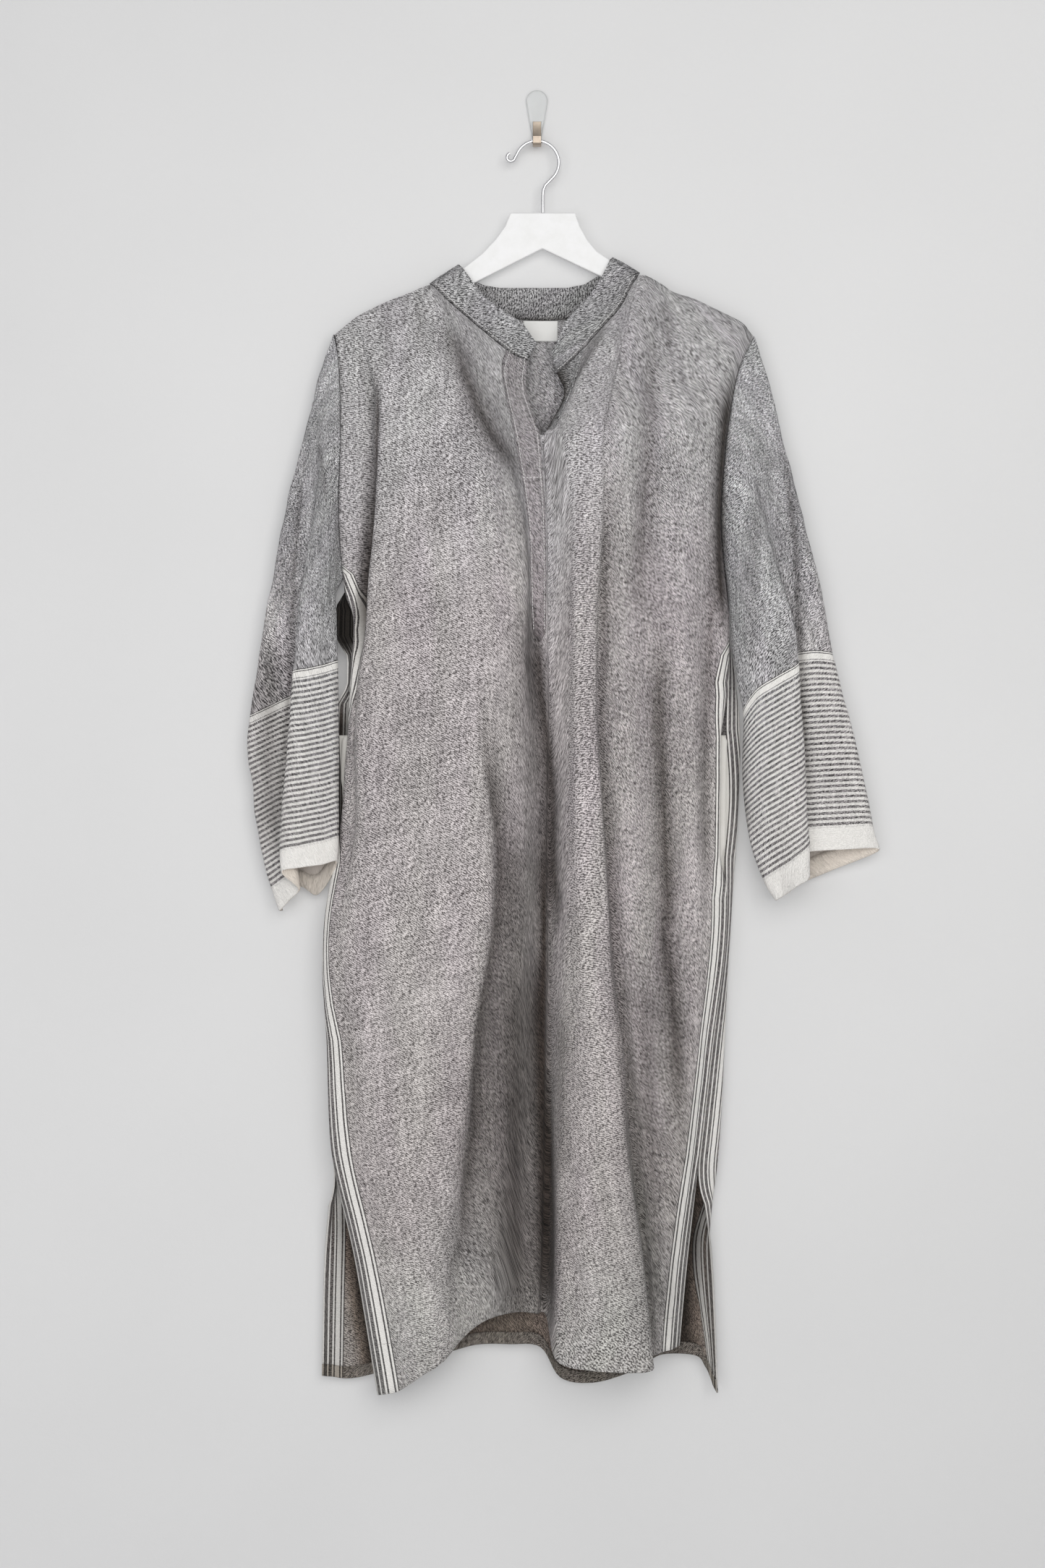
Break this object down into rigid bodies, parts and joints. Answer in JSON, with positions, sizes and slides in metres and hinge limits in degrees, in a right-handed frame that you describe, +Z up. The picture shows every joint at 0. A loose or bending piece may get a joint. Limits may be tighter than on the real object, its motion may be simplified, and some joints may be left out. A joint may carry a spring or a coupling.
{
  "type": "kaftan on a clothes hanger and wall hook",
  "caption": "Long grey kaftan with a stand collar, V opening, long sleeves and side slits, draped on a flat hanger that hangs from a small hook stuck on a wall.",
  "frame": {"origin": "on the wall, at the middle of the flat back of the wall hook's plate", "axes": "+Z up; the garment's front faces -Y and the wall is the plane Y = 0; +X is to the right as seen from the front"},
  "size_m": [0.7072, 0.0802, 1.464],
  "materials": {
    "grey_twill": "matte yarn-dyed twill with woven stripes",
    "white_cloth": "matte plain weave",
    "white_hanger": "satin white",
    "wire": "bright drawn wire",
    "clear_plastic": "clear",
    "brown_nickel": "brown nickel plate"
  },
  "bodies": {
    "root": {"front": "grey_twill", "back": "grey_twill", "sleeve_left": "grey_twill", "sleeve_right": "grey_twill", "collar": "grey_twill", "placket_left": "grey_twill", "placket_right": "grey_twill", "pocket_left": "white_cloth", "pocket_right": "white_cloth", "label": "white_cloth", "hanger_body": "white_hanger", "hanger_hook": "wire", "wall_plate": "clear_plastic", "wall_prong": "brown_nickel"}
  },
  "joints": []
}
